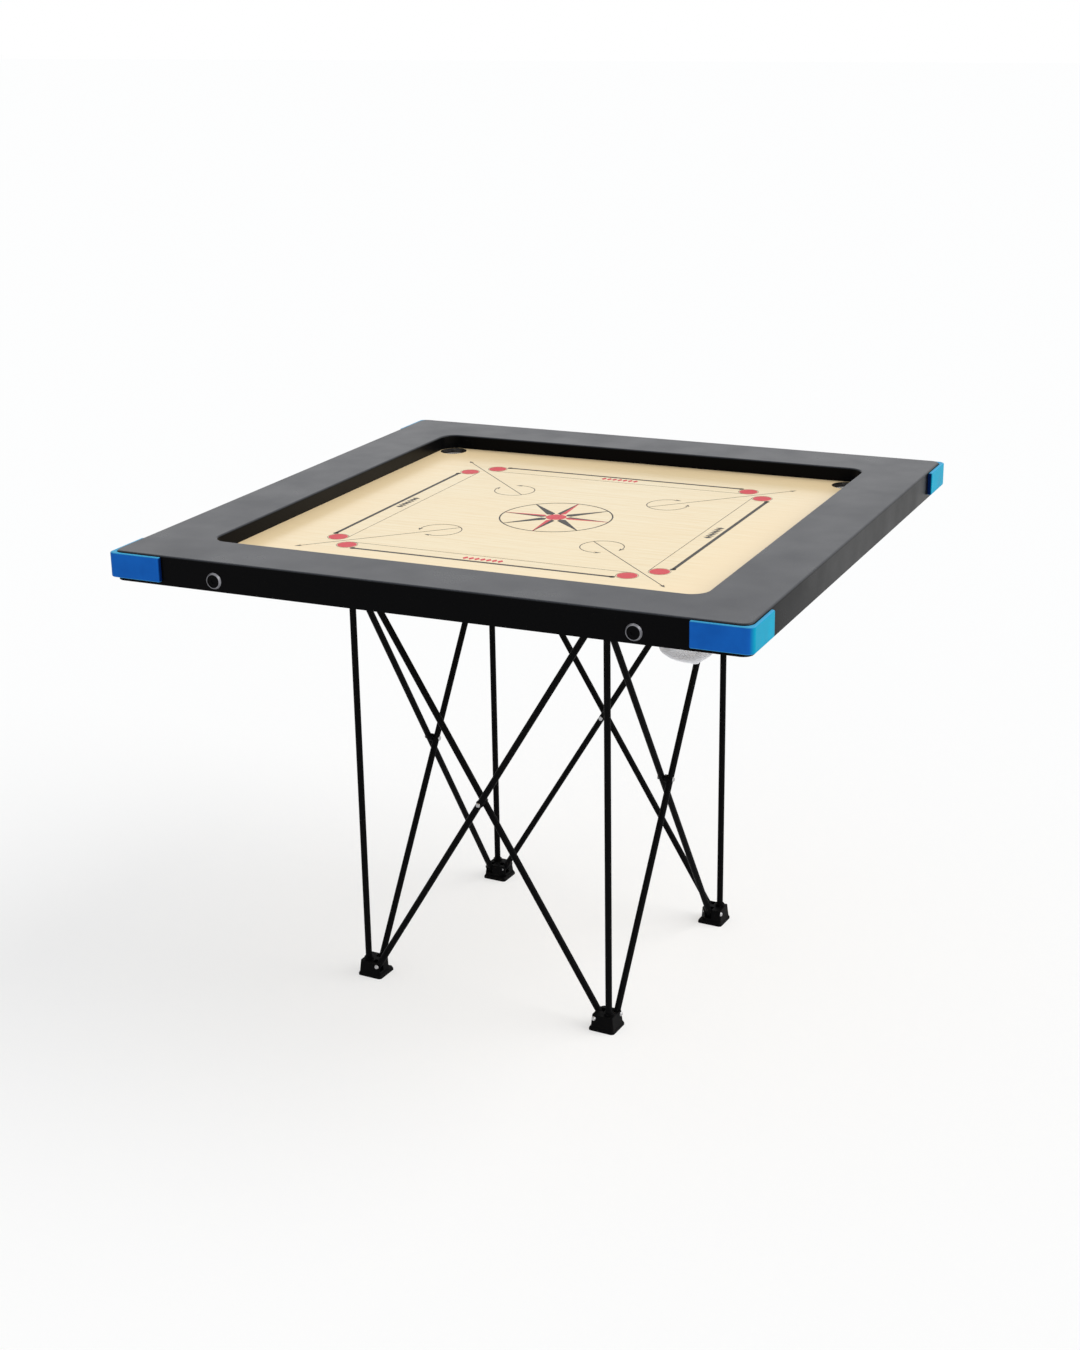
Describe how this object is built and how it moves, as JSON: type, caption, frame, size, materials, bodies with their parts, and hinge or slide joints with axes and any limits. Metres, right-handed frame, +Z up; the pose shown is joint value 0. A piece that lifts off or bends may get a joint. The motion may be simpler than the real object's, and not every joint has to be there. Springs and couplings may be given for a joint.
{
  "type": "carrom board",
  "caption": "Square carrom board with dark rails, netted corner pockets and blue corner guards, on a folding scissor stand of crossed rods.",
  "frame": {"origin": "on the floor, under the centre of the board", "axes": "+X right along the front rail, +Y from the front rail to the back rail, +Z up"},
  "size_m": [0.946, 0.946, 0.74],
  "materials": {
    "play_birch": "lacquered birch ply, satin",
    "rail_lacquer": "black satin lacquer on hardwood",
    "batten_wood": "planed softwood, bare",
    "guard_blue": "moulded, satin to gloss",
    "net_cord": "knotted white nylon cord",
    "screw_black": "black oxide",
    "nickel": "nickel plated",
    "zinc": "zinc plated",
    "stand_tube": "black powder coat on steel",
    "hub_plastic": "moulded nylon, fine grain",
    "ink_black": "screen-printed black ink under lacquer",
    "ink_red": "screen-printed red ink under lacquer",
    "rivet_steel": "bright steel"
  },
  "bodies": {
    "board": {"playing_surface": "play_birch", "rail_front": "rail_lacquer", "rail_right": "rail_lacquer", "rail_back": "rail_lacquer", "rail_left": "rail_lacquer", "corner_guard_front_left": "guard_blue", "corner_guard_front_right": "guard_blue", "corner_guard_back_right": "guard_blue", "corner_guard_back_left": "guard_blue", "pocket_net_front_left": "net_cord", "pocket_net_front_right": "net_cord", "pocket_net_back_right": "net_cord", "pocket_net_back_left": "net_cord", "batten_front": "batten_wood", "batten_back": "batten_wood", "batten_centre": "batten_wood", "face_screws": "screw_black", "cup_washers": "nickel", "surface_screws": "zinc", "batten_screws": "zinc", "net_tacks": "zinc"},
    "foot_front_left": {"foot_hub_front_left": "hub_plastic", "post_front_left": "stand_tube", "foot_rivets_front_left": "rivet_steel"},
    "top_front_left": {"top_hub_front_left": "hub_plastic", "top_rivets_front_left": "rivet_steel"},
    "foot_front_right": {"foot_hub_front_right": "hub_plastic", "post_front_right": "stand_tube", "foot_rivets_front_right": "rivet_steel"},
    "top_front_right": {"top_hub_front_right": "hub_plastic", "top_rivets_front_right": "rivet_steel"},
    "foot_back_right": {"foot_hub_back_right": "hub_plastic", "post_back_right": "stand_tube", "foot_rivets_back_right": "rivet_steel"},
    "top_back_right": {"top_hub_back_right": "hub_plastic", "top_rivets_back_right": "rivet_steel"},
    "foot_back_left": {"foot_hub_back_left": "hub_plastic", "post_back_left": "stand_tube", "foot_rivets_back_left": "rivet_steel"},
    "top_back_left": {"top_hub_back_left": "hub_plastic", "top_rivets_back_left": "rivet_steel"},
    "outer_bar_front": {"bar_front_outer": "stand_tube", "cross_rivet_front": "rivet_steel", "cross_spacer_front": "hub_plastic"},
    "inner_bar_front": {"bar_front_inner": "stand_tube"},
    "outer_bar_right": {"bar_right_outer": "stand_tube", "cross_rivet_right": "rivet_steel", "cross_spacer_right": "hub_plastic"},
    "inner_bar_right": {"bar_right_inner": "stand_tube"},
    "outer_bar_back": {"bar_back_outer": "stand_tube", "cross_rivet_back": "rivet_steel", "cross_spacer_back": "hub_plastic"},
    "inner_bar_back": {"bar_back_inner": "stand_tube"},
    "outer_bar_left": {"bar_left_outer": "stand_tube", "cross_rivet_left": "rivet_steel", "cross_spacer_left": "hub_plastic"},
    "inner_bar_left": {"bar_left_inner": "stand_tube"}
  },
  "joints": [
    {"name": "stand_fold", "type": "hinge", "parent": "foot_front_left", "child": "outer_bar_front", "pos_m": [-0.22596, -0.19901, 0.019], "axis": [-0.0576, -0.9983, 0], "range_deg": [0, 29.8]},
    {"name": "front_crossing", "type": "hinge", "parent": "outer_bar_front", "child": "inner_bar_front", "pos_m": [-0.03588, -0.20301, 0.3266], "axis": [-0.0576, -0.9983, 0], "range_deg": [-59.6, 0]},
    {"name": "foot_pivot_front_right", "type": "hinge", "parent": "inner_bar_front", "child": "foot_front_right", "pos_m": [0.15421, -0.20701, 0.019], "axis": [-0.0576, -0.9983, 0], "range_deg": [0, 29.8]},
    {"name": "top_pivot_front_right", "type": "hinge", "parent": "outer_bar_front", "child": "top_front_right", "pos_m": [0.15341, -0.22088, 0.6342], "axis": [-0.0576, -0.9983, 0], "range_deg": [-29.8, 0]},
    {"name": "top_pivot_front_left", "type": "hinge", "parent": "inner_bar_front", "child": "top_front_left", "pos_m": [-0.22516, -0.18513, 0.6342], "axis": [-0.0576, -0.9983, 0], "range_deg": [0, 29.8]},
    {"name": "left_bar_foot_pivot", "type": "hinge", "parent": "foot_front_left", "child": "inner_bar_left", "pos_m": [-0.23401, -0.17521, 0.019], "axis": [-0.9983, 0.0576, 0], "range_deg": [-29.8, 0]},
    {"name": "left_crossing", "type": "hinge", "parent": "inner_bar_left", "child": "outer_bar_left", "pos_m": [-0.23001, 0.01488, 0.3266], "axis": [-0.9983, 0.0576, 0], "range_deg": [0, 59.6]},
    {"name": "foot_pivot_back_left", "type": "hinge", "parent": "outer_bar_left", "child": "foot_back_left", "pos_m": [-0.22601, 0.20496, 0.019], "axis": [-0.9983, 0.0576, 0], "range_deg": [-29.8, 0]},
    {"name": "top_pivot_back_left", "type": "hinge", "parent": "inner_bar_left", "child": "top_back_left", "pos_m": [-0.21213, 0.20416, 0.6342], "axis": [-0.9983, 0.0576, 0], "range_deg": [0, 29.8]},
    {"name": "right_bar_foot_pivot", "type": "hinge", "parent": "foot_front_right", "child": "outer_bar_right", "pos_m": [0.17801, -0.19896, 0.019], "axis": [0.9983, -0.0576, 0], "range_deg": [0, 29.8]},
    {"name": "right_crossing", "type": "hinge", "parent": "outer_bar_right", "child": "inner_bar_right", "pos_m": [0.18201, -0.00888, 0.3266], "axis": [0.9983, -0.0576, 0], "range_deg": [-59.6, 0]},
    {"name": "foot_pivot_back_right", "type": "hinge", "parent": "inner_bar_right", "child": "foot_back_right", "pos_m": [0.18601, 0.18121, 0.019], "axis": [0.9983, -0.0576, 0], "range_deg": [0, 29.8]},
    {"name": "top_pivot_back_right", "type": "hinge", "parent": "outer_bar_right", "child": "top_back_right", "pos_m": [0.19988, 0.18041, 0.6342], "axis": [0.9983, -0.0576, 0], "range_deg": [-29.8, 0]},
    {"name": "back_bar_foot_pivot", "type": "hinge", "parent": "foot_back_left", "child": "inner_bar_back", "pos_m": [-0.20221, 0.21301, 0.019], "axis": [0.0576, 0.9983, 0], "range_deg": [-29.8, 0]},
    {"name": "back_crossing", "type": "hinge", "parent": "inner_bar_back", "child": "outer_bar_back", "pos_m": [-0.01212, 0.20901, 0.3266], "axis": [0.0576, 0.9983, 0], "range_deg": [0, 59.6]},
    {"name": "board_lift", "type": "slide", "parent": "top_front_left", "child": "board", "axis": [0, 0, 1], "range_m": [0, 0.25]}
  ],
  "couplings": [
    {"joint": "front_crossing", "follows": "stand_fold", "ratio": -2},
    {"joint": "foot_pivot_front_right", "follows": "stand_fold", "ratio": 1},
    {"joint": "top_pivot_front_right", "follows": "stand_fold", "ratio": -1},
    {"joint": "top_pivot_front_left", "follows": "stand_fold", "ratio": 1},
    {"joint": "left_bar_foot_pivot", "follows": "stand_fold", "ratio": -1},
    {"joint": "left_crossing", "follows": "stand_fold", "ratio": 2},
    {"joint": "foot_pivot_back_left", "follows": "stand_fold", "ratio": -1},
    {"joint": "top_pivot_back_left", "follows": "stand_fold", "ratio": 1},
    {"joint": "right_bar_foot_pivot", "follows": "stand_fold", "ratio": 1},
    {"joint": "right_crossing", "follows": "stand_fold", "ratio": -2},
    {"joint": "foot_pivot_back_right", "follows": "stand_fold", "ratio": 1},
    {"joint": "top_pivot_back_right", "follows": "stand_fold", "ratio": -1},
    {"joint": "back_bar_foot_pivot", "follows": "stand_fold", "ratio": -1},
    {"joint": "back_crossing", "follows": "stand_fold", "ratio": 2}
  ]
}
